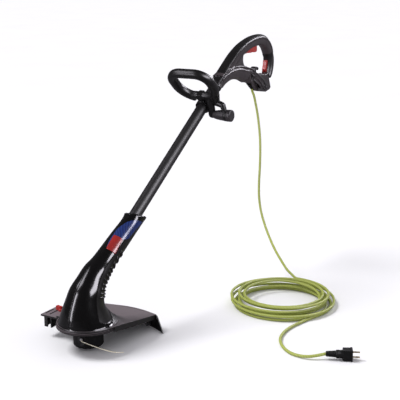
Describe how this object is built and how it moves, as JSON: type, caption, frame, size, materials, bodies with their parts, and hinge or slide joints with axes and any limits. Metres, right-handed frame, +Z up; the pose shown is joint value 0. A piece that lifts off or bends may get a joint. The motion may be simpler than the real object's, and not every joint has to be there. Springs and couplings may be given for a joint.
{
  "type": "corded string trimmer",
  "caption": "Corded electric string trimmer with a leaning shaft, bump-feed line head, guard, assist handle, loop rear handle and a plugged-in cord lying coiled on the floor.",
  "frame": {"origin": "centre of the bump knob's flat bottom, where the spool axis meets the floor", "axes": "+Z up along the spool axis, +X from the line head towards the operator, XZ the plane the shaft leans in, +Y on the side of the edging guide"},
  "size_m": [1.0702, 0.7588, 0.7125],
  "materials": {
    "housing_gloss": "gloss",
    "handle_satin": "satin",
    "guard_grain": "fine grain",
    "head_black": "satin",
    "spool_grey": "matte",
    "hub_nylon": "matte",
    "line_cream": "satin",
    "red_plastic": "gloss",
    "tube_black": "satin",
    "grip_rubber": "matte",
    "fastener_steel": "bright",
    "spring_steel": "bright",
    "core_steel": "dull",
    "winding_copper": "enamelled",
    "brush_brass": "dull",
    "lead_black": "matte",
    "cord_green": "satin",
    "plug_black": "satin",
    "blade_brass": "bright"
  },
  "bodies": {
    "root": {"housing_left": "housing_gloss", "housing_right": "housing_gloss", "housing_screws": "fastener_steel", "motor_stator": "core_steel", "motor_windings": "winding_copper", "brush_holders": "brush_brass", "bearing_bracket": "fastener_steel", "upper_bearing": "fastener_steel", "lower_bearing": "fastener_steel", "guard": "guard_grain", "guard_screws": "fastener_steel", "line_cutter": "fastener_steel", "guide_pin": "fastener_steel", "shaft_tube": "tube_black", "motor_lead": "lead_black", "tube_clamp": "handle_satin", "clamp_bolt": "fastener_steel", "clamp_nut": "fastener_steel", "handle_left": "handle_satin", "handle_right": "handle_satin", "handle_screws": "fastener_steel", "trigger_pin": "fastener_steel", "trigger_spring": "spring_steel", "power_switch": "head_black", "lock_pin": "fastener_steel", "lock_spring": "spring_steel", "cord_hook": "handle_satin", "inlet_block": "head_black", "inlet_prongs": "blade_brass", "cord_connector": "plug_black", "connector_relief": "plug_black", "cord_drop": "cord_green", "cord_coil": "cord_green", "cord_tail": "cord_green", "plug_relief": "plug_black", "plug_body": "plug_black", "plug_prongs": "blade_brass"},
    "line_head": {"motor_armature": "core_steel", "motor_shaft": "fastener_steel", "cooling_fan": "head_black", "drive_hub": "hub_nylon", "spool_housing": "head_black", "line_eyelet": "fastener_steel", "line_tail": "line_cream"},
    "bump_feed": {"spool_spring": "spring_steel", "spool": "spool_grey", "wound_line": "line_cream", "bump_knob": "head_black"},
    "edging": {"edging_guide": "guard_grain"},
    "edging_latch": {"guide_lever": "red_plastic"},
    "assist": {"assist_handle": "handle_satin", "side_grip": "grip_rubber", "grip_cap": "grip_rubber"},
    "throttle": {"trigger": "red_plastic"},
    "lock_off": {"lock_lever": "red_plastic"}
  },
  "joints": [
    {"name": "head_spin", "type": "hinge", "parent": "root", "child": "line_head", "pos_m": [0, 0, 0], "axis": [0, 0, 1], "continuous": true},
    {"name": "bump_press", "type": "slide", "parent": "line_head", "child": "bump_feed", "axis": [0, 0, 1], "range_m": [0, 0.005], "stiffness_N_per_m": 1500, "springref_m": -0.02, "deforming": ["spool_spring"]},
    {"name": "edging_fold", "type": "hinge", "parent": "root", "child": "edging", "pos_m": [0, 0.087, 0.055], "axis": [1, 0, 0], "range_deg": [0, 90]},
    {"name": "edging_latch_turn", "type": "hinge", "parent": "edging", "child": "edging_latch", "pos_m": [0.044, 0.118, 0.0565], "axis": [0, 0, 1], "range_deg": [0, 60]},
    {"name": "assist_tilt", "type": "hinge", "parent": "root", "child": "assist", "pos_m": [0.55052, 0, 0.56019], "axis": [0, 1, 0], "range_deg": [-20, 20]},
    {"name": "trigger_pull", "type": "hinge", "parent": "root", "child": "throttle", "pos_m": [0.798, 0, 0.676], "axis": [0, -1, 0], "range_deg": [0, 8], "stiffness_Nm_per_rad": 0.6, "springref_deg": -8.59, "deforming": ["trigger_spring"]},
    {"name": "lock_press", "type": "hinge", "parent": "root", "child": "lock_off", "pos_m": [0.9579, 0, 0.58654], "axis": [0, 1, 0], "range_deg": [0, 10], "stiffness_Nm_per_rad": 0.3, "springref_deg": -11.46, "deforming": ["lock_spring"]}
  ]
}
